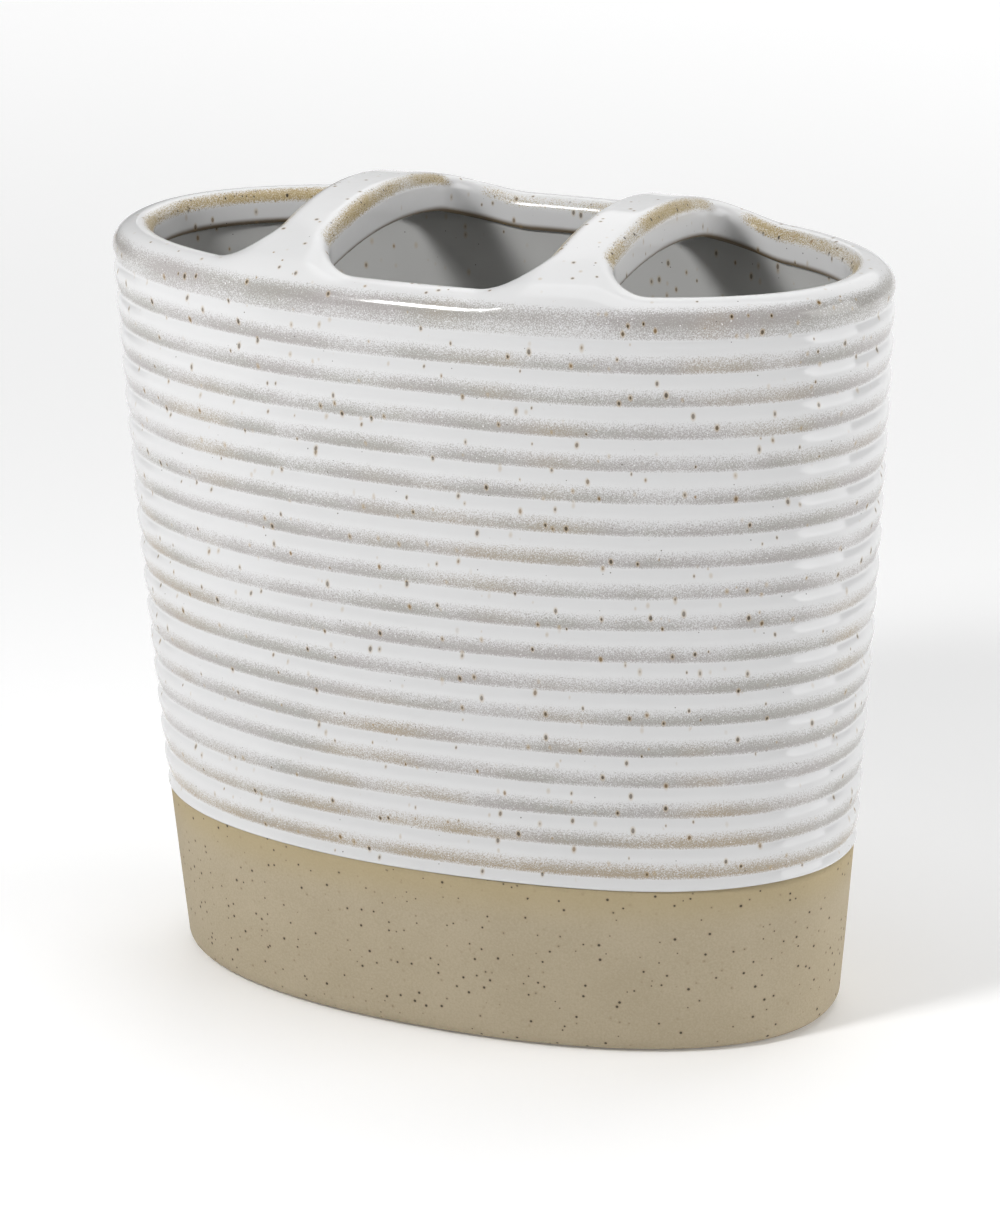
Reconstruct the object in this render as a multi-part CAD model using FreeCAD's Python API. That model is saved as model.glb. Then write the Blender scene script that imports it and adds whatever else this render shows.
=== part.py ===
import FreeCAD, Part
import math
import os

# Oval stoneware toothbrush holder: a tapered cup with a bare clay foot, a ribbed glazed wall, a rounded rim
# and two arched bridges across the mouth. Millimetres, +Z up, origin at the middle of the underside.

# Oval plan and its taper
RIM_LENGTH = 114.2          # across the crests, at the height of the lip
RIM_DEPTH = 59.4
BASE_LENGTH = 99.4          # the same taper carried down to the shelf
BASE_DEPTH = 53.2
OVAL_EXPONENT = 2.19        # 2 is an ellipse, more is squarer
BARREL_BULGE = 0.7          # how far mid height stands out of the straight taper
OVAL_POINTS = 40

# Heights, stacked from the shelf up
FOOT_BAND_HEIGHT = 24.7     # bare clay up to the glaze line
RIB_COUNT = 18
RIB_PITCH = 4.49
RIB_DEPTH = 0.6             # crest to crease
RIB_CREST_SHARE = 2 / 3     # where the crest lies, as a share of the rib's height
RIB_STEPS = 3               # bands that round one rib
BEAD_CUT = 2.85             # height of the lowest rib that the glaze line cuts away
COLLAR_SWELL = 1.25         # height over which the collar swells out of the top crease
LIP_OUTER_RADIUS = 3.8      # rounding from there to the top of the lip
LIP_STEPS = 6               # bands that round the lip

# Walls
GLAZE = 0.3                 # one fired coat
WALL = 4.4                  # clay between the two coats
FLOOR = 5.0
FOOT_RECESS = 1.2           # underside of the floor above the shelf
FOOT_EDGE_RADIUS = 2.0
CAVITY_CORNER_RADIUS = 3.0  # inside corner between wall and floor

# Rim collar
COLLAR_OVERHANG = 1.3       # how far the collar reaches in past the wall under it
SKIRT_DROP = 0.65           # how far the collar's inner edge hangs below the top crease
LIP_INNER_RADIUS = 1.8

# Bridges
BRIDGE_SPACING = 40.9       # between the middles of the two bridges
BRIDGE_WIDTH = 8.8
BRIDGE_THICKNESS = 5.2
BRIDGE_RISE = 6.3           # crest of the arch above the lip
BRIDGE_TOP_RADIUS = 2.4
BRIDGE_BOTTOM_RADIUS = 1.2
FOOT_FLARE_RADIUS = 6.0     # inside corner of an opening, seen from above
FOOT_FLARE_TURN = 60.0      # degrees that the corner's arc turns before it runs straight into the rim
FOOT_FLARE_SPREAD = 6.0     # how far a foot spreads past each side of its bridge

# Levels and insets worked out from the sizes above
RIB_START = FOOT_BAND_HEIGHT - BEAD_CUT
SHOULDER = RIB_START + RIB_COUNT * RIB_PITCH
RIM_HEIGHT = SHOULDER + COLLAR_SWELL + LIP_OUTER_RADIUS
SKIRT_BOTTOM = SHOULDER - SKIRT_DROP
FLOOR_TOP = FOOT_RECESS + FLOOR
CLAY_INSET = GLAZE
CAVITY_INSET = CLAY_INSET + WALL
LINER_INSET = CAVITY_INSET + GLAZE
MOUTH_INSET = CAVITY_INSET + COLLAR_OVERHANG
LIP_CREST_INSET = MOUTH_INSET / 2
TOLERANCE = 1e-3


def half_axes(z, inset):
    """Half length and half depth of the straight taper at a height, drawn in by an inset."""
    share = z / RIM_HEIGHT
    length = BASE_LENGTH + (RIM_LENGTH - BASE_LENGTH) * share
    depth = BASE_DEPTH + (RIM_DEPTH - BASE_DEPTH) * share
    return length / 2 - inset, depth / 2 - inset


def bulge_at(z):
    """How far the outside stands out of the straight taper at a height."""
    share = z / RIM_HEIGHT
    return 4 * BARREL_BULGE * share * (1 - share)


def rib_inset(z):
    """How far the ribbed surface lies inside its crests: a long slope up to the crest, then a short shoulder."""
    phase = (z - RIB_START) / RIB_PITCH % 1
    climb = min(phase / RIB_CREST_SHARE, (1 - phase) / (1 - RIB_CREST_SHARE))
    return RIB_DEPTH * (1 - math.sin(math.pi / 2 * climb))


def oval(z, inset):
    """Closed smooth wire of the oval plan at a height."""
    half_length, half_depth = half_axes(z, inset)
    points = []
    for step in range(OVAL_POINTS):
        angle = 2 * math.pi * step / OVAL_POINTS
        across = math.cos(angle)
        along = math.sin(angle)
        stretch = (abs(across) ** OVAL_EXPONENT + abs(along) ** OVAL_EXPONENT) ** (-1 / OVAL_EXPONENT)
        points.append(FreeCAD.Vector(half_length * across * stretch, half_depth * along * stretch, z))
    curve = Part.BSplineCurve()
    curve.interpolate(points, PeriodicFlag=True)
    return Part.Wire(curve.toShape())


def outside_wire(z, inset):
    """Oval of the outer surface, which bulges a little at mid height."""
    return oval(z, inset - bulge_at(z))


def plug(wires):
    """Solid through a stack of ovals, with flat ends."""
    return Part.makeLoft(wires, True, True)


def straight_plug(bottom, top, inset):
    """Solid that follows the straight taper between two heights."""
    return plug([oval(bottom, inset), oval(top, inset)])


def rib_heights():
    """Heights of the ovals that shape the ribbed wall, from the glaze line to the top crease."""
    heights = [FOOT_BAND_HEIGHT]
    for step in range(RIB_COUNT * RIB_STEPS + 1):
        height = RIB_START + step * RIB_PITCH / RIB_STEPS
        if height > FOOT_BAND_HEIGHT + TOLERANCE:
            heights.append(height)
    return heights


def ribbed_plug(inset):
    """Solid with the ribs on its outside, drawn in by an inset."""
    return plug([outside_wire(z, rib_inset(z) + inset) for z in rib_heights()])


def edges_at_height(shape, z):
    """Edges that lie in one level plane."""
    return [e for e in shape.Edges if abs(e.BoundBox.ZMin - z) < TOLERANCE and e.BoundBox.ZLength < TOLERANCE]


def innermost(edges):
    """The edge that reaches least far along the length."""
    return min(edges, key=lambda edge: edge.BoundBox.XMax)


def foot_band():
    """Bare clay ring that stands on the shelf."""
    heights = (0, FOOT_BAND_HEIGHT / 2, FOOT_BAND_HEIGHT)
    outside = plug([outside_wire(z, CLAY_INSET) for z in heights])
    outside = outside.makeFillet(FOOT_EDGE_RADIUS, edges_at_height(outside, 0))
    return outside.cut(straight_plug(0, FOOT_BAND_HEIGHT, CAVITY_INSET))


def base_floor():
    """Clay slab that closes the foot band."""
    return straight_plug(FOOT_RECESS, FLOOR_TOP, CAVITY_INSET)


def ribbed_wall():
    """Clay ring with the horizontal ribs."""
    return ribbed_plug(CLAY_INSET).cut(straight_plug(FOOT_BAND_HEIGHT, SHOULDER, CAVITY_INSET))


def wall_glaze():
    """Outer glaze skin over the ribs."""
    return ribbed_plug(0).cut(ribbed_plug(CLAY_INSET))


def liner_glaze():
    """Glaze skin inside the cavity: wall and floor, with a rounded inside corner."""
    inside = straight_plug(FLOOR_TOP + GLAZE, SKIRT_BOTTOM, LINER_INSET)
    inside = inside.makeFillet(CAVITY_CORNER_RADIUS, edges_at_height(inside, FLOOR_TOP + GLAZE))
    return straight_plug(FLOOR_TOP, SKIRT_BOTTOM, CAVITY_INSET).cut(inside)


def rim_collar():
    """Ring with the rounded lip and a short skirt that hangs inside the wall."""
    wires = [outside_wire(SHOULDER, RIB_DEPTH)]
    for step in range(LIP_STEPS + 1):
        angle = math.pi / 2 * step / LIP_STEPS
        height = SHOULDER + COLLAR_SWELL + LIP_OUTER_RADIUS * math.sin(angle)
        wires.append(outside_wire(height, LIP_OUTER_RADIUS * (1 - math.cos(angle))))
    ring = plug(wires).cut(straight_plug(SHOULDER, RIM_HEIGHT, MOUTH_INSET))
    ring = ring.makeFillet(LIP_INNER_RADIUS, [innermost(edges_at_height(ring, RIM_HEIGHT))])
    skirt = straight_plug(SKIRT_BOTTOM, SHOULDER, CAVITY_INSET)
    skirt = skirt.cut(straight_plug(SKIRT_BOTTOM, SHOULDER, MOUTH_INSET))
    return ring.fuse(skirt).removeSplitter()


def oval_half_depth(x, z, inset):
    """Half depth of the straight taper where a bridge crosses it."""
    half_length, half_depth = half_axes(z, inset)
    return half_depth * (1 - (abs(x) / half_length) ** OVAL_EXPONENT) ** (1 / OVAL_EXPONENT)


def arch_radius(x, spring_inset):
    """Radius of the arch at one x: it springs level with the lip, an inset inside the rim's outer edge."""
    reach = oval_half_depth(x, RIM_HEIGHT, spring_inset)
    return (reach ** 2 + BRIDGE_RISE ** 2) / (2 * BRIDGE_RISE)


def arch_wire(x, spring_inset):
    """Closed outline of the vault that a bridge is cut from, in the upright plane at one x."""
    crest = RIM_HEIGHT + BRIDGE_RISE
    radius = arch_radius(x, spring_inset)
    half_angle = math.asin(RIM_DEPTH / 2 / radius)
    inner = radius - BRIDGE_THICKNESS

    def spot(arc_radius, angle):
        return FreeCAD.Vector(x, arc_radius * math.sin(angle), crest - radius + arc_radius * math.cos(angle))

    top = Part.Arc(spot(radius, -half_angle), spot(radius, 0), spot(radius, half_angle)).toShape()
    under = Part.Arc(spot(inner, half_angle), spot(inner, 0), spot(inner, -half_angle)).toShape()
    back = Part.makeLine(spot(radius, half_angle), spot(inner, half_angle))
    front = Part.makeLine(spot(inner, -half_angle), spot(radius, -half_angle))
    return Part.Wire([top, back, under, front])


def bridge_side(middle, side):
    """One side of a bridge seen from above: a straight run between two flared feet."""
    half_width = BRIDGE_WIDTH / 2
    turn = math.radians(FOOT_FLARE_TURN)
    mouth = oval_half_depth(middle, RIM_HEIGHT, MOUTH_INSET)
    start = mouth - FOOT_FLARE_RADIUS * math.sin(turn)
    run = FOOT_FLARE_SPREAD - FOOT_FLARE_RADIUS * (1 - math.cos(turn))

    def spot(across, along):
        return FreeCAD.Vector(middle + side * across, along, 0)

    def on_arc(end, angle):
        across = half_width + FOOT_FLARE_RADIUS * (1 - math.cos(angle))
        return spot(across, end * (start + FOOT_FLARE_RADIUS * math.sin(angle)))

    def tip(end):
        return spot(half_width + FOOT_FLARE_SPREAD, end * (mouth + run / math.tan(turn)))

    return [
        Part.makeLine(tip(-1), on_arc(-1, turn)),
        Part.Arc(on_arc(-1, turn), on_arc(-1, turn / 2), on_arc(-1, 0)).toShape(),
        Part.makeLine(on_arc(-1, 0), on_arc(1, 0)),
        Part.Arc(on_arc(1, 0), on_arc(1, turn / 2), on_arc(1, turn)).toShape(),
        Part.makeLine(on_arc(1, turn), tip(1)),
    ]


def broad_faces(strap):
    """Underside and top of a strap, its two largest faces."""
    largest = sorted(strap.Faces, key=lambda face: face.Area)[-2:]
    return sorted(largest, key=lambda face: face.CenterOfMass.z)


def running_edges(face, middle, half_spread):
    """Edges of one face that run along a bridge, without those at its two ends."""
    along = [edge for edge in face.Edges if edge.BoundBox.XLength < half_spread]
    return [edge for edge in along if abs(edge.CenterOfMass.x - middle) < half_spread - TOLERANCE]


def bridge_strap(middle):
    """Arched strap with flared feet and rounded edges, before it is fitted to the rim."""
    half_spread = BRIDGE_WIDTH / 2 + FOOT_FLARE_SPREAD
    arches = [arch_wire(middle + step * half_spread, abs(step) * LIP_CREST_INSET) for step in (-1, 0, 1)]
    strap = Part.makeLoft(arches, True, False)
    for side in (-1, 1):
        outline = bridge_side(middle, side)
        outline.append(Part.makeLine(outline[-1].lastVertex().Point, outline[0].firstVertex().Point))
        strap = strap.cut(Part.Face(Part.Wire(outline)).extrude(FreeCAD.Vector(0, 0, 2 * RIM_HEIGHT)))
    under, top = broad_faces(strap)
    strap = strap.makeFillet(BRIDGE_TOP_RADIUS, running_edges(top, middle, half_spread))
    under, top = broad_faces(strap)
    return strap.makeFillet(BRIDGE_BOTTOM_RADIUS, running_edges(under, middle, half_spread))


def foot_envelope(middle):
    """Room for a bridge's feet: they roll over the lip and die out on its outside."""
    radius = arch_radius(middle, 0)
    crossing = oval_half_depth(middle, RIM_HEIGHT, LIP_CREST_INSET)
    above_lip = BRIDGE_RISE - radius + math.sqrt(radius ** 2 - crossing ** 2)
    wires = []
    for step in range(LIP_STEPS + 1):
        angle = math.pi / 2 * step / LIP_STEPS
        height = SHOULDER + COLLAR_SWELL + (LIP_OUTER_RADIUS + above_lip) * math.sin(angle)
        wires.append(outside_wire(height, LIP_CREST_INSET * (1 - math.cos(angle))))
    wires.append(outside_wire(RIM_HEIGHT + 2 * BRIDGE_RISE, LIP_CREST_INSET))
    return plug(wires)


def bridge(middle, collar):
    """Bridge fitted to the rim: its feet lie over the lip and against the collar's inner face."""
    below_swell = straight_plug(SKIRT_BOTTOM, SHOULDER + COLLAR_SWELL, MOUTH_INSET)
    room = foot_envelope(middle).fuse(below_swell)
    return bridge_strap(middle).common(room).cut(collar)


def build():
    """Every piece by name."""
    collar = rim_collar()
    return {
        "foot_band": foot_band(),
        "base_floor": base_floor(),
        "ribbed_wall": ribbed_wall(),
        "rim_collar": collar,
        "left_bridge": bridge(-BRIDGE_SPACING / 2, collar),
        "right_bridge": bridge(BRIDGE_SPACING / 2, collar),
        "wall_glaze": wall_glaze(),
        "liner_glaze": liner_glaze(),
    }


os.makedirs("parts", exist_ok=True)
for name, shape in build().items():
    print(name, len(shape.Solids), "solid", shape.isValid(), round(shape.Volume, 1), "cubic mm")
    shape.Solids[0].exportStep(f"parts/{name}.step")
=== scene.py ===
import math

import bpy
import numpy as np
from mathutils import Matrix, Vector


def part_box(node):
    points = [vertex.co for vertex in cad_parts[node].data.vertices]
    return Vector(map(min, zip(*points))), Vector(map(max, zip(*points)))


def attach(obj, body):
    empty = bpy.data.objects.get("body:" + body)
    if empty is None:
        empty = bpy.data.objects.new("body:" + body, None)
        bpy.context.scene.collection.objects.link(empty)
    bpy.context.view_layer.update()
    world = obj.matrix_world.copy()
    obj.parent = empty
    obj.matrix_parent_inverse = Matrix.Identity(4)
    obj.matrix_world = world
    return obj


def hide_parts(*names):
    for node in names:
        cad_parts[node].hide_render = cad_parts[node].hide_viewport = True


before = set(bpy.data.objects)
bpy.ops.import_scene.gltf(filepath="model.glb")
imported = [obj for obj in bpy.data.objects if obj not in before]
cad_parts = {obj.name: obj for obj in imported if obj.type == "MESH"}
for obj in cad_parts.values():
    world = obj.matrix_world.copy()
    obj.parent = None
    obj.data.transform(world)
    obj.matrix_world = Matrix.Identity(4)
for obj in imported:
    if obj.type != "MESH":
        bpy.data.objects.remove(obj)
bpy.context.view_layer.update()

# Oval stoneware toothbrush holder: bare clay foot, ribbed wall in a speckled white glaze, rounded rim and two
# arched bridges. Metres, +Z up, origin at the middle of the underside.

MM = 0.001
RANDOM_SEED = 7

# Oval plan and its taper
RIM_LENGTH = 114.2 * MM
RIM_DEPTH = 59.4 * MM
BASE_LENGTH = 99.4 * MM         # the same taper carried down to the shelf
BASE_DEPTH = 53.2 * MM
OVAL_EXPONENT = 2.19            # 2 is an ellipse, more is squarer
BARREL_BULGE = 0.7 * MM         # how far mid height stands out of the straight taper
OVAL_POINTS = 360

# Levels, from the frame
GLAZE_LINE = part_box("wall_glaze")[0].z
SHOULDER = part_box("wall_glaze")[1].z
RIM_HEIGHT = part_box("rim_collar")[1].z
BRIDGE_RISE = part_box("left_bridge")[1].z - RIM_HEIGHT
SKIRT_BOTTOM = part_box("rim_collar")[0].z
CAVITY_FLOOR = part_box("base_floor")[1].z

# Ribs
RIB_PITCH = 4.49 * MM
RIB_DEPTH = 0.6 * MM            # crest to crease
RIB_CREST_SHARE = 2 / 3         # where the crest lies, as a share of the rib's height
RIB_STEPS = 12
CREASE_SOFTNESS = 0.2           # how far the glaze fills a crease, as a share of the rib's depth
RIB_WAVER = 0.09 * MM           # how far a crease strays from its level
WAVER_WAVES = (2, 3, 5, 8)      # waves of the straying around the oval
WAVER_TILT = 0.25               # most that their phase shifts for each millimetre of height, radians
BEAD_RADIUS = 0.5 * MM          # rounding of the glaze's lower edge
BEAD_STEPS = 6
WALL_TUCK = 0.5 * MM            # how far the wall runs on inside the rim

# Walls
CLAY_INSET = 0.3 * MM           # bare clay lies this far inside the glaze
CAVITY_INSET = 4.7 * MM
LINER_INSET = 5.0 * MM
MOUTH_INSET = 6.0 * MM
FOOT_EDGE_RADIUS = 2.0 * MM
CAVITY_CORNER_RADIUS = 3.0 * MM
CORNER_STEPS = 8
FOOT_ROWS = 24
LINER_ROWS = 40
FLOOR_RINGS = 12

# Rim and bridges
LIP_RADIUS = 3.8 * MM
EDGE_RADIUS = 2.0 * MM          # upper edges of the openings
UNDER_RADIUS = 1.0 * MM         # lower edges of the openings
BRIDGE_SPACING = 40.9 * MM
BRIDGE_WIDTH = 8.8 * MM
CORNER_RADIUS = 6.0 * MM        # corners of the openings, seen from above
BRIDGE_CROWN = 1.0 * MM         # how far inside its sides a bridge has its full rise
FRONT_SPREAD = 7.0 * MM         # how far beside a bridge its rise fades out along the front lip
BACK_SPREAD = 10.0 * MM         # the same along the back lip
ARCH_SHARE = 0.9                # rise of a bridge's underside, as a share of its top's
ARCH_CROWN = 3.0 * MM           # crown and spread of the underside
ARCH_SPREAD = 11.0 * MM
SKIRT_START = 1.0 * MM          # the underside steps down between these distances outside the mouth
SKIRT_END = 4.0 * MM
NET_STEP = 0.45 * MM            # grid step of the rim's mesh
NET_ROUNDS = 4                  # how often its points are spread and set back on the surface

# Where the glaze is sandy or bare; the sandy bands are darkened partly as painted shade
RIB_SAND_SHADE_ONSET = 0.12           # the sandy band of a rib, its glaze's own sand and painted shade of its lower slope, is full from here, as a share of the rib's height
RIB_SAND_SHADE_FADE = 0.1             # and fades out between these shares
RIB_SAND_SHADE_END = 0.78
RIM_SAND_SHADE_FULL = 1.5 * MM        # the shoulder's band of sand and painted shade fades out between these depths inside the outside
RIM_SAND_SHADE_END = 3.5 * MM
CORNER_CLEAN = 2.5 * MM         # the corners of the openings have no tan up to here
CORNER_END = 5.5 * MM           # and as much as elsewhere from here
FAINT_TAN = 0.45                # strength of the tan edges near the middle of the length
FAINT_TAN_REACH = 8 * MM        # how far from the middle they stay that faint
FULL_TAN_REACH = 16 * MM        # from here on they have their full strength

# Glaze and clay: the sizes of their textures
GRAIN = 0.16 * MM
GRAIN_CONTRAST = 2.2
PATCHES = 14 * MM               # where the glaze runs thick or thin
HUE_PATCHES = 22 * MM
COOL_PATCHES = 15 * MM
PEEL = 2.5 * MM                 # faint waves of the glossy surface
PEEL_DEPTH = 0.025 * MM
CLAY_GRAIN = 0.3 * MM
CLAY_GRAIN_DEPTH = 0.06 * MM
CLAY_CLOUDS = 9 * MM
CLAY_BLUSH = 7 * MM             # how far below the glaze line the clay is yellower
DROP_STRETCH = 1.7              # height of an iron drop to its width
DASH_STRETCH = 2.2
SMALLEST_SPECK = 0.45           # as a share of the largest one's radius
SPECK_CORE = 0.6                # share of its radius up to which a speck has its full colour
HALO_CORE = 0.7                 # the same for its halo
HALO_REACH = 1.8                # radius of a halo to that of its speck
GLOSS_ROUGHNESS = 0.07
SAND_ROUGHNESS = 0.08           # added where the glaze is sandy
BARE_ROUGHNESS = 0.35           # added on the bare upper edges

# Colours, linear red, green and blue
WHITE = (0.72, 0.72, 0.722)
# Painted shade: a greyer white for the whole inside of the cavity, standing for the shade there
CAVITY_SHADE_WHITE = (0.53, 0.53, 0.52)
# Sandy tones: the thinner glaze's own colour, darkened further as painted shade of the ribs' downward-facing
# slopes
SAND_AND_SHADE_LILAC = (0.405, 0.38, 0.37)
SAND_AND_SHADE_GREEN = (0.38, 0.365, 0.34)
SAND_AND_SHADE_BEIGE = (0.40, 0.335, 0.25)
GLINT_WHITE = (0.85, 0.85, 0.85)
TAN_LIGHT = (0.50, 0.41, 0.25)
TAN_DARK = (0.37, 0.28, 0.13)
EDGE_BROWN = (0.17, 0.11, 0.04)
RUN_TAN = (0.44, 0.31, 0.14)
DROP_DARK = (0.03, 0.017, 0.008)
DROP_AMBER = (0.2, 0.115, 0.035)
PIN_DARK = (0.06, 0.045, 0.03)
DASH_DARK = (0.04, 0.025, 0.012)
CLAY_DARK = (0.41, 0.345, 0.235)
CLAY_LIGHT = (0.47, 0.40, 0.285)
CLAY_YELLOW = (0.44, 0.35, 0.185)
CLAY_STAIN = (0.25, 0.18, 0.10)
CLAY_PIN = (0.03, 0.022, 0.014)

# Stage, in metres
FLOOR_HALF = 3.0
FLOOR_DROP = 0.05 * MM          # keeps the floor off the foot's own face
GLOW_START = 0.15               # the floor's glow grows between these distances from the holder
GLOW_END = 0.9

# Camera, as the photograph was taken
IMAGE_HEIGHT = 1222             # pixels
FOCAL_PIXELS = 4517.6
SENSOR = 36.0                   # millimetres, along the image's longer side
VIEW_AZIMUTH = 24.89            # degrees
VIEW_ELEVATION = 18.89
VIEW_ROLL = -1.14
VIEW_DISTANCE = 636.1 * MM
VIEW_TARGET = Vector((-0.25, -0.11, 53.8)) * MM


def smooth(low, high, value):
    """0 below low, 1 above high and a smooth rise between; the ends may also fall."""
    share = np.clip((value - low) / (high - low), 0, 1)
    return share * share * (3 - 2 * share)


def half_axes(z):
    """Half length and half depth of the straight taper at a height."""
    share = z / RIM_HEIGHT
    length = BASE_LENGTH + (RIM_LENGTH - BASE_LENGTH) * share
    depth = BASE_DEPTH + (RIM_DEPTH - BASE_DEPTH) * share
    return length / 2, depth / 2


def bulge_at(z):
    """How far the outside stands out of the straight taper at a height."""
    share = z / RIM_HEIGHT
    return 4 * BARREL_BULGE * share * (1 - share)


def oval(angles, z, inset):
    """Points of the oval plan at heights z, drawn in by insets."""
    half_length, half_depth = half_axes(z)
    across = np.cos(angles)
    along = np.sin(angles)
    stretch = (np.abs(across) ** OVAL_EXPONENT + np.abs(along) ** OVAL_EXPONENT) ** (-1 / OVAL_EXPONENT)
    x = (half_length - inset) * across * stretch
    y = (half_depth - inset) * along * stretch
    return np.stack([x, y, z + 0 * x], axis=-1)


def rib_phase(z):
    """Share of a rib's height, 0 at its lower crease and 1 at the upper one."""
    return (z - SHOULDER) / RIB_PITCH % 1


def climb_inset(climb):
    """How far a rib's side lies inside its crest, for a climb from 0 at the soft crease to 1 at the crest."""
    height = np.hypot(np.sin(math.pi / 2 * climb), CREASE_SOFTNESS) / math.hypot(1, CREASE_SOFTNESS)
    return RIB_DEPTH * (1 - height)


def rib_inset(z):
    """How far the ribbed surface lies inside its crests: a long slope up to each, then a short shoulder."""
    phase = rib_phase(np.minimum(z, SHOULDER))
    return climb_inset(np.minimum(phase / RIB_CREST_SHARE, (1 - phase) / (1 - RIB_CREST_SHARE)))


def shoulder_inset(z):
    """How far the rim lies inside its widest line: it leaves the top crease like one more rib."""
    return climb_inset(np.clip((z - SHOULDER) / (RIB_CREST_SHARE * RIB_PITCH), 0, 1))


def grid_mesh(name, rows, ends):
    """Mesh of rows of points that each close on themselves; its ends are "joined" or "capped"."""
    count = len(rows[0])
    points = np.concatenate(rows)
    lower = np.arange(len(rows) if ends == "joined" else len(rows) - 1)[:, None]
    upper = (lower + 1) % len(rows)
    here = np.arange(count)[None, :]
    beside = (here + 1) % count
    corners = (lower * count + here, lower * count + beside, upper * count + beside, upper * count + here)
    faces = np.stack(corners, axis=-1).reshape(-1, 4).tolist()
    if ends == "capped":
        middles = np.array([rows[0].mean(axis=0), rows[-1].mean(axis=0)])
        last_row = len(points) - count
        for one, two in zip(here[0].tolist(), beside[0].tolist()):
            faces.append([two, one, len(points)])
            faces.append([last_row + one, last_row + two, len(points) + 1])
        points = np.concatenate([points, middles])
    return make_piece(name, points, faces)


def make_piece(name, points, faces):
    """Smooth-shaded mesh object that rides on the part's one body."""
    mesh = bpy.data.meshes.new(name)
    mesh.from_pydata(points.tolist(), [], faces)
    mesh.validate()
    mesh.polygons.foreach_set("use_smooth", [True] * len(mesh.polygons))
    piece = bpy.data.objects.new(name, mesh)
    bpy.context.scene.collection.objects.link(piece)
    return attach(piece, "root")


def paint(piece, name, values):
    """Stores one number for each point of a piece, for its material to read."""
    attribute = piece.data.attributes.new(name, "FLOAT", "POINT")
    attribute.data.foreach_set("value", np.asarray(values, np.float32).ravel())


# Foot and cavity

def plan_angles():
    """Angles of the points of one oval."""
    return np.linspace(0, 2 * math.pi, OVAL_POINTS, endpoint=False)


def clay_foot():
    """Bare clay ring with a rounded lower edge."""
    angles = plan_angles()
    profile = []
    for z in np.linspace(GLAZE_LINE, FOOT_EDGE_RADIUS, FOOT_ROWS):
        profile.append((z, CLAY_INSET - bulge_at(z)))
    for turn in np.linspace(0, math.pi / 2, CORNER_STEPS)[1:]:
        z = FOOT_EDGE_RADIUS * (1 - math.sin(turn))
        profile.append((z, CLAY_INSET - bulge_at(z) + FOOT_EDGE_RADIUS * (1 - math.cos(turn))))
    profile.append((0, CAVITY_INSET))
    profile.append((GLAZE_LINE, CAVITY_INSET))
    rows = [oval(angles, z, inset) for z, inset in profile]
    piece = grid_mesh("clay_foot", rows[::-1], ends="joined")
    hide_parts("foot_band")
    return piece


def cavity_liner():
    """Glazed inside of the cavity: a shell a few tenths of a millimetre thick, with wall, rounded corner and
    floor, whose white is painted darker as shade inside the cavity.
    """
    angles = plan_angles()
    floor = CAVITY_FLOOR + LINER_INSET - CAVITY_INSET
    top = RIM_HEIGHT - EDGE_RADIUS
    profile = [(CAVITY_FLOOR, CAVITY_INSET), (top, CAVITY_INSET)]
    for z in np.linspace(top, floor + CAVITY_CORNER_RADIUS, LINER_ROWS):
        profile.append((z, LINER_INSET))
    for turn in np.linspace(0, math.pi / 2, CORNER_STEPS)[1:]:
        z = floor + CAVITY_CORNER_RADIUS * (1 - math.sin(turn))
        profile.append((z, LINER_INSET + CAVITY_CORNER_RADIUS * (1 - math.cos(turn))))
    rows = [oval(angles, z, inset) for z, inset in profile]
    edge_of_floor = rows[-1]
    for share in np.linspace(1, 0, FLOOR_RINGS)[1:-1]:
        rows.append(edge_of_floor * [share, share, 1])
    piece = grid_mesh("cavity_liner", rows, ends="capped")
    # Painted shade: every point of the liner takes the greyer cavity white
    paint(piece, "cavity_shade", np.ones(len(piece.data.vertices)))
    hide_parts("liner_glaze")
    return piece


# Ribbed wall

def waver(angles, z):
    """Slow wander of the hand-finished creases, none at the top one."""
    random = np.random.default_rng(RANDOM_SEED)
    total = 0
    for waves in WAVER_WAVES:
        tilt = random.uniform(-WAVER_TILT, WAVER_TILT) / MM
        start = random.uniform(0, 2 * math.pi)
        total = total + np.sin(waves * angles + tilt * z + start) / 2
    return RIB_WAVER * total * smooth(SHOULDER, SHOULDER - RIB_PITCH, z)


def rib_levels():
    """Heights of the ribbed wall's rows from the glaze line up, closer together at the creases."""
    steps = np.arange(RIB_STEPS) / RIB_STEPS
    spread = (1 - np.cos(math.pi * steps)) / 2
    ribs = math.ceil((SHOULDER - GLAZE_LINE) / RIB_PITCH)
    starts = SHOULDER - RIB_PITCH * np.arange(ribs, 0, -1)
    levels = (starts[:, None] + RIB_PITCH * spread[None, :]).ravel()
    levels = np.append(levels[levels > GLAZE_LINE + BEAD_RADIUS], [SHOULDER, SHOULDER + WALL_TUCK])
    bead = GLAZE_LINE + BEAD_RADIUS * (1 - np.cos(math.pi / 2 * np.arange(BEAD_STEPS + 1) / BEAD_STEPS))
    return np.concatenate([bead, levels])


def bead_inset(z):
    """How far the glaze's rounded lower edge draws in."""
    below = np.clip(1 - (z - GLAZE_LINE) / BEAD_RADIUS, 0, 1)
    return BEAD_RADIUS * (1 - np.sqrt(1 - below ** 2))


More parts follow.
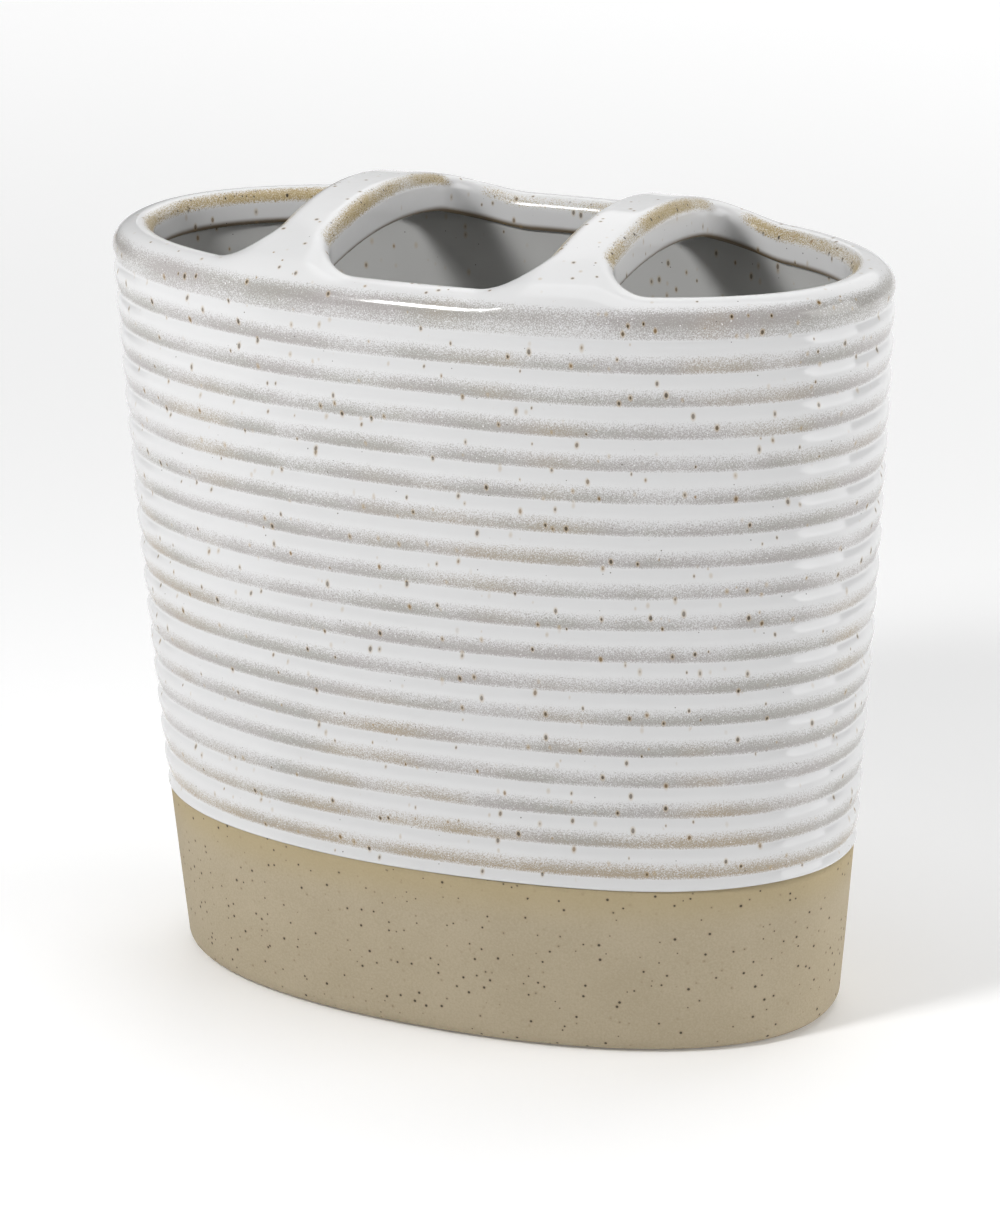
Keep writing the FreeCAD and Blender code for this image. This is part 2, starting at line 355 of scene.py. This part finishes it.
def ribbed_glaze():
    """Glazed wall with its ribs, ending in a bead above the bare clay."""
    angles, levels = np.meshgrid(plan_angles(), rib_levels())
    outside = oval(angles, levels, rib_inset(levels) + bead_inset(levels) - bulge_at(levels))
    outside[..., 2] += waver(angles, levels)
    inside = [oval(plan_angles(), z, CAVITY_INSET) for z in (SHOULDER + WALL_TUCK, GLAZE_LINE)]
    piece = grid_mesh("ribbed_glaze", [*outside, *inside], ends="joined")
    phase = rib_phase(levels)
    # Sand and painted shade: the band on each rib's lower, downward-facing slope is darker partly for the
    # glaze's own colour, partly as shade
    sand = smooth(RIB_SAND_SHADE_END, RIB_SAND_SHADE_FADE, phase) * smooth(0, RIB_SAND_SHADE_ONSET, phase)
    hidden = np.zeros(2 * OVAL_POINTS)
    paint(piece, "sand", np.append(sand.ravel(), hidden))
    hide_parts("wall_glaze", "ribbed_wall")
    return piece


# Rim and bridges, the zero surface of a field

def round_max(a, b, radius):
    """Both fields below zero at once, with their shared edge rounded."""
    corner = np.hypot(np.maximum(a + radius, 0), np.maximum(b + radius, 0))
    return np.minimum(np.maximum(a, b), -radius) + corner


def round_min(a, b, radius):
    """Either field below zero, with a fillet in their shared corner."""
    return -round_max(-a, -b, radius)


def oval_distance(x, y, half_length, half_depth):
    """How far points lie outside an oval; less than zero inside."""
    across = np.abs(x) / half_length + 1e-6
    along = np.abs(y) / half_depth + 1e-6
    size = (across ** OVAL_EXPONENT + along ** OVAL_EXPONENT) ** (1 / OVAL_EXPONENT)
    slope_x = (across / size) ** (OVAL_EXPONENT - 1) / half_length
    slope_y = (along / size) ** (OVAL_EXPONENT - 1) / half_depth
    return (size - 1) / np.hypot(slope_x, slope_y)


def mouth_distances(points):
    """How far points lie inside the mouth, and how far beside the bridges."""
    x, y, z = points[..., 0], points[..., 1], points[..., 2]
    half_length, half_depth = half_axes(z)
    inward = -oval_distance(x, y, half_length - MOUTH_INSET, half_depth - MOUTH_INSET)
    beside = np.abs(np.abs(x) - BRIDGE_SPACING / 2) - BRIDGE_WIDTH / 2
    return inward, beside


def rim_fields(points):
    """Distances to the rim's outside, top, openings and underside; all are below zero in the rim."""
    x, y, z = points[..., 0], points[..., 1], points[..., 2]
    half_length, half_depth = half_axes(z)
    drawn_in = shoulder_inset(z) - bulge_at(z)
    outside = oval_distance(x, y, half_length - drawn_in, half_depth - drawn_in)
    inward, beside = mouth_distances(points)
    openings = round_min(inward, beside, CORNER_RADIUS)
    across = np.maximum(1 - (np.abs(x) / half_length) ** OVAL_EXPONENT, 0.05)
    reach = half_depth * across ** (1 / OVAL_EXPONENT)
    rise = BRIDGE_RISE * np.maximum(1 - (y / reach) ** 2, 0)
    spread = FRONT_SPREAD + (BACK_SPREAD - FRONT_SPREAD) * smooth(-reach, reach, y)
    top = z - RIM_HEIGHT - rise * smooth(spread, -BRIDGE_CROWN, beside)
    over_wall = smooth(-SKIRT_START, -SKIRT_END, inward)
    skirt = SHOULDER + (SKIRT_BOTTOM - SHOULDER) * over_wall
    under = skirt + ARCH_SHARE * rise * smooth(ARCH_SPREAD, -ARCH_CROWN, beside) - z
    return outside, top, openings, under


def rim_field(points):
    """Less than zero inside the rim and its bridges."""
    outside, top, openings, under = rim_fields(points)
    lip = round_max(outside, top, LIP_RADIUS)
    upper_edge = round_max(openings, top, EDGE_RADIUS)
    lower_edge = round_max(openings, under, UNDER_RADIUS)
    return np.maximum(np.maximum(lip, upper_edge), lower_edge)


def slope_of(field, points, reach):
    """Slope of a field at points, by differences."""
    steps = reach * np.eye(3)
    return np.stack([(field(points + step) - field(points - step)) / (2 * reach) for step in steps], axis=-1)


def surface_net(field, low, high, step):
    """Quads near a field's zero surface, with one point in each cell of a grid that the surface crosses."""
    axes = [np.arange(a, b + step, step) for a, b in zip(low, high)]
    inside = field(np.stack(np.meshgrid(*axes, indexing="ij"), axis=-1)) < 0
    size = np.array(inside.shape) - 1
    count = np.zeros(size, int)
    for corner in np.ndindex(2, 2, 2):
        window = tuple(slice(c, c + n) for c, n in zip(corner, size))
        count += inside[window]
    crossed = (count > 0) & (count < 8)
    number = np.full(size, -1)
    number[crossed] = np.arange(crossed.sum())
    points = np.array(low) + (np.argwhere(crossed) + 0.5) * step
    quads = []
    for axis in range(3):
        one, two = np.eye(3, dtype=int)[[(axis + 1) % 3, (axis + 2) % 3]]
        starts_inside = np.take(inside, range(size[axis]), axis)
        ends_inside = np.take(inside, range(1, size[axis] + 1), axis)
        edges = np.argwhere(starts_inside != ends_inside)
        ring = [number[tuple((edges - shift).T)] for shift in (one + two, two, 0 * one, one)]
        faces = np.stack(ring, axis=-1)
        outward = starts_inside[tuple(edges.T)]
        quads.append(np.where(outward[:, None], faces, faces[:, ::-1]))
    return points, np.concatenate(quads)


def settle(points, quads, field, rounds):
    """Spreads points evenly over a field's zero surface."""
    ends = np.concatenate([quads, np.roll(quads, 1, axis=1)]).T.reshape(-1)
    others = np.concatenate([np.roll(quads, -1, axis=1), quads]).T.reshape(-1)
    degree = np.bincount(ends, minlength=len(points))[:, None]
    for turn in range(rounds):
        total = np.stack([np.bincount(ends, points[others, k], len(points)) for k in range(3)], axis=-1)
        points = total / degree
        for step in range(2):
            slope = slope_of(field, points, NET_STEP / 4)
            points = points - field(points)[:, None] * slope / np.sum(slope ** 2, axis=1, keepdims=True)
    return points


def rim_and_bridges():
    """Glazed rim with its two arched bridges in one flowing surface."""
    reach = np.array([RIM_LENGTH / 2, RIM_DEPTH / 2]) + 2 * NET_STEP
    low = (-reach[0], -reach[1], SKIRT_BOTTOM - 2 * NET_STEP)
    high = (reach[0], reach[1], RIM_HEIGHT + BRIDGE_RISE + 2 * NET_STEP)
    points, quads = surface_net(rim_field, low, high, NET_STEP)
    points = settle(points, quads, rim_field, NET_ROUNDS)
    piece = make_piece("rim_and_bridges", points, quads.tolist())
    paint_rim(piece, points)
    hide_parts("rim_collar", "left_bridge", "right_bridge")
    return piece


def paint_rim(piece, points):
    """Stores where the rim's glaze is sandy and painted with shade, and how far each point lies across the
    edges of the openings.
    """
    outside, top, openings, under = rim_fields(points)
    inward, beside = mouth_distances(points)
    above = (points[:, 2] - SHOULDER) / (RIM_HEIGHT - SHOULDER)
    fullness = 0.55 + 0.45 * smooth(0.1, 0.6, above)
    shoulder_sand_and_shade = smooth(0, 0.1, above) * smooth(0.95, 0.6, above) * fullness
    # Sand and painted shade: the shoulder's band below the lip
    paint(piece, "sand", shoulder_sand_and_shade * smooth(-RIM_SAND_SHADE_END, -RIM_SAND_SHADE_FULL, outside))
    paint(piece, "upper_edge", np.clip((openings - top) / EDGE_RADIUS, -3, 3))
    paint(piece, "lower_edge", np.clip((openings - under) / UNDER_RADIUS, -3, 3))
    near_opening = smooth(-2.2 * EDGE_RADIUS, -1.3 * EDGE_RADIUS, openings)
    in_corner = smooth(CORNER_END, CORNER_CLEAN, np.maximum(inward, beside))
    on_edge = near_opening * smooth(-1.8 * EDGE_RADIUS, -1.2 * EDGE_RADIUS, top) * (1 - in_corner)
    beyond_middle = smooth(FAINT_TAN_REACH, FULL_TAN_REACH, np.abs(points[:, 0]))
    off_middle = FAINT_TAN + (1 - FAINT_TAN) * beyond_middle
    paint(piece, "upper_share", on_edge * off_middle)
    paint(piece, "lower_share", near_opening * smooth(-2.5 * UNDER_RADIUS, -1.3 * UNDER_RADIUS, under))


# Materials

def add_node(tree, kind, inputs=None, **settings):
    """Adds a shader node: settings are its properties, inputs are links or numbers by socket."""
    made = tree.nodes.new("ShaderNode" + kind)
    for name, value in settings.items():
        setattr(made, name, value)
    for socket, value in (inputs or {}).items():
        if isinstance(value, bpy.types.NodeSocket):
            tree.links.new(value, made.inputs[socket])
        else:
            made.inputs[socket].default_value = value
    return made


def sum_of(tree, a, b):
    """Two numbers added."""
    return add_node(tree, "Math", {0: a, 1: b}, operation="ADD").outputs[0]


def product(tree, a, b):
    """Two numbers multiplied."""
    return add_node(tree, "Math", {0: a, 1: b}, operation="MULTIPLY").outputs[0]


def ramp(tree, value, low, high, bottom=0.0, top=1.0):
    """Smooth change from bottom to top as a value goes from low to high."""
    inputs = {"Value": value, "From Min": low, "From Max": high, "To Min": bottom, "To Max": top}
    return add_node(tree, "MapRange", inputs, interpolation_type="SMOOTHSTEP").outputs["Result"]


def mixed(tree, share, first, second):
    """Colour between two others."""
    made = add_node(tree, "Mix", {"Factor": share}, data_type="RGBA")
    for socket, colour in ((made.inputs[6], first), (made.inputs[7], second)):
        if isinstance(colour, bpy.types.NodeSocket):
            tree.links.new(colour, socket)
        else:
            socket.default_value = (*colour, 1)
    return made.outputs[2]


def painted(tree, name):
    """Number that a piece stores for each of its points."""
    return add_node(tree, "Attribute", attribute_name=name).outputs["Fac"]


def noise(tree, place, size, detail=2.0):
    """Cloudy noise with features of a given size."""
    return add_node(tree, "TexNoise", {"Vector": place, "Scale": 1 / size, "Detail": detail}).outputs["Fac"]


def stretched(tree, place, upright):
    """Places in which round features come out longer in height."""
    return add_node(tree, "Mapping", {"Vector": place, "Scale": (1, 1, 1 / upright)}).outputs["Vector"]


def specks(tree, place, spacing, radius, share):
    """Specks in a share of a random net's cells: masks of cores and halos, and a random number for each."""
    cell = add_node(tree, "TexVoronoi", {"Vector": place, "Scale": 1 / spacing})
    random = add_node(tree, "SeparateColor", {"Color": cell.outputs["Color"]})
    chosen = ramp(tree, random.outputs["Red"], 1 - share, 1 - share + 0.01)
    largest = radius / spacing
    size = ramp(tree, random.outputs["Green"], 0, 1, SMALLEST_SPECK * largest, largest)
    distance = cell.outputs["Distance"]
    core = ramp(tree, distance, size, product(tree, size, SPECK_CORE))
    halo = ramp(tree, distance, product(tree, size, HALO_REACH), product(tree, size, HALO_CORE))
    return product(tree, core, chosen), product(tree, halo, chosen), random.outputs["Blue"]


def new_material(name):
    """Material with an empty tree, its surface shader and the places on the object."""
    material = bpy.data.materials.new(name)
    material.use_nodes = True
    tree = material.node_tree
    tree.nodes.clear()
    shader = add_node(tree, "BsdfPrincipled")
    output = add_node(tree, "OutputMaterial", {"Surface": shader.outputs["BSDF"]})
    output.is_active_output = True
    place = add_node(tree, "TexCoord").outputs["Object"]
    return material, tree, shader, place


def finish_shader(tree, shader, colour, roughness, height, depth):
    """Links colour, roughness and a bump of a given depth to the surface shader."""
    bump = add_node(tree, "Bump", {"Height": height, "Distance": depth, "Strength": 1.0})
    tree.links.new(colour, shader.inputs["Base Color"])
    tree.links.new(roughness, shader.inputs["Roughness"])
    tree.links.new(bump.outputs["Normal"], shader.inputs["Normal"])


def stippled(tree, strength, grain):
    """Mask that breaks up into grains where a strength between 0 and 1 is weak."""
    uneven = sum_of(tree, strength, product(tree, sum_of(tree, grain, -0.5), GRAIN_CONTRAST))
    return product(tree, ramp(tree, uneven, 0.05, 0.95), ramp(tree, strength, 0.0, 0.25))


def height_of(tree, place):
    """Height of places above the shelf."""
    return add_node(tree, "SeparateXYZ", {"Vector": place}).outputs["Z"]


def sand_and_shade_colour(tree, place):
    """Sandy tones where the glaze runs thinner, also darkened as painted shade: lilac grey, greenish grey and
    beige patches, more beige low down.
    """
    cool = mixed(tree, ramp(tree, noise(tree, place, COOL_PATCHES), 0.4, 0.6), SAND_AND_SHADE_LILAC, SAND_AND_SHADE_GREEN)
    low_down = ramp(tree, height_of(tree, place), GLAZE_LINE + 4 * RIB_PITCH, GLAZE_LINE, 0.0, 0.3)
    hue = sum_of(tree, noise(tree, place, HUE_PATCHES), low_down)
    return mixed(tree, ramp(tree, hue, 0.5, 0.8), cool, SAND_AND_SHADE_BEIGE)


def with_edges(tree, colour, bare, patches, grain):
    """Glaze colour with the grainy tan upper edges and the brown lower edges of the openings."""
    tan = stippled(tree, product(tree, bare, ramp(tree, patches, 0.3, 0.55, 0.45, 1.0)), grain)
    tan_colour = mixed(tree, ramp(tree, grain, 0.4, 0.6), TAN_LIGHT, TAN_DARK)
    colour = mixed(tree, tan, colour, tan_colour)
    lower = add_node(tree, "Math", {0: painted(tree, "lower_edge")}, operation="ABSOLUTE").outputs[0]
    brown = product(tree, ramp(tree, lower, 1.3, 0.3), painted(tree, "lower_share"))
    return mixed(tree, product(tree, brown, 0.9), colour, EDGE_BROWN)


def with_iron(tree, place, colour, sand, bare):
    """Glaze colour with iron drops in tan runs, small pins, and dashes on the bare edges."""
    in_sand = ramp(tree, sand, 0.0, 0.5, 0.7, 1.0)
    upright = stretched(tree, place, DROP_STRETCH)
    drops, runs, tint = specks(tree, upright, spacing=1.5 * MM, radius=0.28 * MM, share=0.55)
    drop_colour = mixed(tree, ramp(tree, tint, 0.55, 1.0), DROP_DARK, DROP_AMBER)
    colour = mixed(tree, product(tree, product(tree, runs, in_sand), 0.6), colour, RUN_TAN)
    colour = mixed(tree, product(tree, product(tree, drops, in_sand), 0.9), colour, drop_colour)
    pins = specks(tree, place, spacing=1.5 * MM, radius=0.13 * MM, share=0.5)[0]
    colour = mixed(tree, product(tree, pins, 0.75), colour, PIN_DARK)
    upright = stretched(tree, place, DASH_STRETCH)
    dashes = specks(tree, upright, spacing=0.85 * MM, radius=0.24 * MM, share=0.7)[0]
    return mixed(tree, product(tree, dashes, bare), colour, DASH_DARK)


def white_glaze():
    """Glossy white glaze that breaks to grainy sand on slopes, darkened there also as painted shade, to tan
    on edges, with brown iron specks.
    """
    material, tree, shader, place = new_material("white_glaze")
    patches = noise(tree, place, PATCHES)
    grain = noise(tree, place, GRAIN, detail=1.0)
    sand = product(tree, painted(tree, "sand"), ramp(tree, patches, 0.3, 0.62, 0.6, 1.0))
    sandy = stippled(tree, sand, grain)
    upper = painted(tree, "upper_edge")
    across = product(tree, ramp(tree, upper, -1.0, 0.1), ramp(tree, upper, 1.1, 0.5))
    bare = product(tree, across, painted(tree, "upper_share"))

    # Painted shade: the liner's points get the greyer white of the shaded cavity
    white = mixed(tree, painted(tree, "cavity_shade"), WHITE, CAVITY_SHADE_WHITE)
    # Sand and painted shade: the darker sandy colours on the ribs' lower slopes and the shoulder
    colour = mixed(tree, sandy, white, sand_and_shade_colour(tree, place))
    colour = with_edges(tree, colour, bare, patches, grain)
    glints = specks(tree, place, spacing=0.6 * MM, radius=0.13 * MM, share=0.4)[0]
    colour = mixed(tree, product(tree, glints, sandy), colour, GLINT_WHITE)
    colour = with_iron(tree, place, colour, sand, bare)

    matte = sum_of(tree, product(tree, sandy, SAND_ROUGHNESS), product(tree, bare, BARE_ROUGHNESS))
    roughness = sum_of(tree, matte, GLOSS_ROUGHNESS)
    finish_shader(tree, shader, colour, roughness, noise(tree, place, PEEL), PEEL_DEPTH)
    return material


def bare_clay():
    """Matte sand-coloured stoneware: fine grain, dark pin specks, yellower under the glaze line."""
    material, tree, shader, place = new_material("bare_clay")
    grain = noise(tree, place, CLAY_GRAIN, detail=3.0)
    clouds = noise(tree, place, CLAY_CLOUDS)
    tint = sum_of(tree, product(tree, clouds, 0.35), product(tree, grain, 0.65))
    colour = mixed(tree, ramp(tree, tint, 0.3, 0.7), CLAY_DARK, CLAY_LIGHT)
    near_glaze = ramp(tree, height_of(tree, place), GLAZE_LINE - CLAY_BLUSH, GLAZE_LINE, 0.0, 0.6)
    colour = mixed(tree, near_glaze, colour, CLAY_YELLOW)
    pins, stains = specks(tree, place, spacing=1.1 * MM, radius=0.25 * MM, share=0.55)[:2]
    colour = mixed(tree, product(tree, stains, 0.3), colour, CLAY_STAIN)
    colour = mixed(tree, product(tree, pins, 0.9), colour, CLAY_PIN)
    roughness = ramp(tree, grain, 0.0, 1.0, 0.8, 0.95)
    finish_shader(tree, shader, colour, roughness, grain, CLAY_GRAIN_DEPTH)
    return material


# Stage

def pale_floor():
    """Plain pale floor, larger than any view, that glows away from the holder like a lit white sweep."""
    mesh = bpy.data.meshes.new("floor")
    signs = [(-1, -1), (1, -1), (1, 1), (-1, 1)]
    corners = [(x * FLOOR_HALF, y * FLOOR_HALF, -FLOOR_DROP) for x, y in signs]
    mesh.from_pydata(corners, [], [(0, 1, 2, 3)])
    floor = bpy.data.objects.new("floor", mesh)
    bpy.context.scene.collection.objects.link(floor)
    material, tree, shader, place = new_material("pale_floor")
    shader.inputs["Base Color"].default_value = (0.95, 0.95, 0.95, 1)
    shader.inputs["Roughness"].default_value = 0.9
    shader.inputs["Emission Color"].default_value = (1, 1, 1, 1)
    away = add_node(tree, "VectorMath", {0: place}, operation="LENGTH").outputs["Value"]
    glow = ramp(tree, away, GLOW_START, GLOW_END, 0.1, 0.4)
    tree.links.new(glow, shader.inputs["Emission Strength"])
    mesh.materials.append(material)


def soft_box(name, place, size, power):
    """Square area light that faces the holder."""
    light = bpy.data.lights.new(name, "AREA")
    light.size = size
    light.energy = power
    lamp = bpy.data.objects.new(name, light)
    lamp.location = place
    facing = VIEW_TARGET - Vector(place)
    lamp.rotation_euler = facing.to_track_quat("-Z", "Y").to_euler()
    bpy.context.scene.collection.objects.link(lamp)


def studio_light():
    """Dim surroundings, soft boxes at both sides, behind and above, and a small lamp at the front left."""
    world = bpy.data.worlds.new("studio")
    world.use_nodes = True
    background = world.node_tree.nodes["Background"]
    background.inputs["Color"].default_value = (0.97, 0.985, 1.0, 1)
    background.inputs["Strength"].default_value = 0.03
    bpy.context.scene.world = world
    soft_box("lamp", (-0.15, -0.30, 0.34), size=0.07, power=1.08)
    soft_box("left_box", (-0.9, -0.3, 0.25), size=0.8, power=1.5)
    soft_box("right_box", (0.95, 0.1, 0.35), size=0.7, power=5.3)
    soft_box("back_box", (0.0, 1.0, 1.2), size=1.5, power=6.0)
    soft_box("back_wall", (0.0, 1.9, 0.8), size=2.4, power=11.0)
    soft_box("top_box", (0.0, 0.0, 1.6), size=1.2, power=7.5)


def photo_camera():
    """Camera at the photograph's angle, distance, focal length and tilt."""
    azimuth = math.radians(VIEW_AZIMUTH)
    elevation = math.radians(VIEW_ELEVATION)
    flat = Vector((math.sin(azimuth), -math.cos(azimuth), 0))
    back = flat * math.cos(elevation) + Vector((0, 0, math.sin(elevation)))
    right = Vector((math.cos(azimuth), math.sin(azimuth), 0))
    level = Matrix((right, back.cross(right), back)).transposed()
    turned = level @ Matrix.Rotation(math.radians(VIEW_ROLL), 3, "Z")
    data = bpy.data.cameras.new("photo_camera")
    data.sensor_width = SENSOR
    data.lens = FOCAL_PIXELS * SENSOR / IMAGE_HEIGHT
    data.clip_start = 10 * MM
    camera = bpy.data.objects.new("photo_camera", data)
    camera.matrix_world = Matrix.Translation(VIEW_TARGET + VIEW_DISTANCE * back) @ turned.to_4x4()
    bpy.context.scene.collection.objects.link(camera)
    bpy.context.scene.camera = camera
    bpy.context.scene.view_settings.view_transform = "Standard"


def dress(pieces, material):
    """Gives pieces one material."""
    for piece in pieces:
        piece.data.materials.clear()
        piece.data.materials.append(material)


dress([ribbed_glaze(), rim_and_bridges(), cavity_liner()], white_glaze())
dress([clay_foot(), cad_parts["base_floor"]], bare_clay())
pale_floor()
studio_light()
photo_camera()
